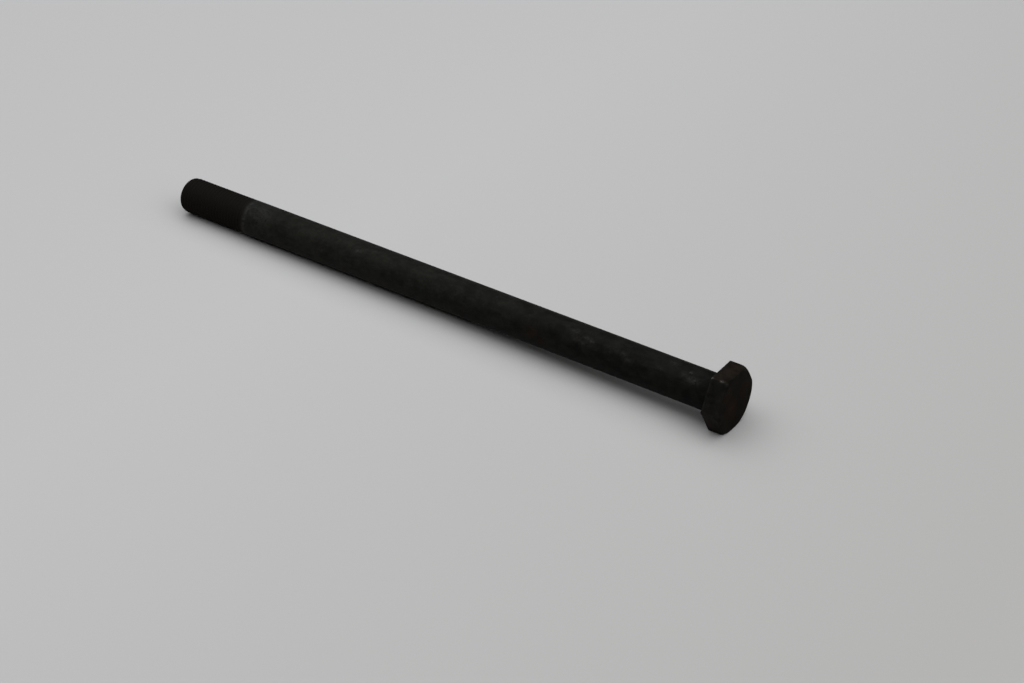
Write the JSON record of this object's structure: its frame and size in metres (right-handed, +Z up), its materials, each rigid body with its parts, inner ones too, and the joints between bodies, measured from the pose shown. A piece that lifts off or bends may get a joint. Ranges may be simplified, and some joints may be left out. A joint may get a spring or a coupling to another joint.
{
  "type": "suspension bolt",
  "caption": "Long hexagon-head bolt with a low rounded head, a plain shank and a short threaded end, lying on its side.",
  "frame": {"origin": "on the ground, under the middle of the bolt's length and width", "axes": "+X along the lying bolt toward its head, +Z up"},
  "size_m": [0.2112, 0.0216, 0.0189],
  "materials": {
    "steel": "satin black oxide, worn, with light rust"
  },
  "bodies": {
    "root": {"bolt": "steel"}
  },
  "joints": []
}
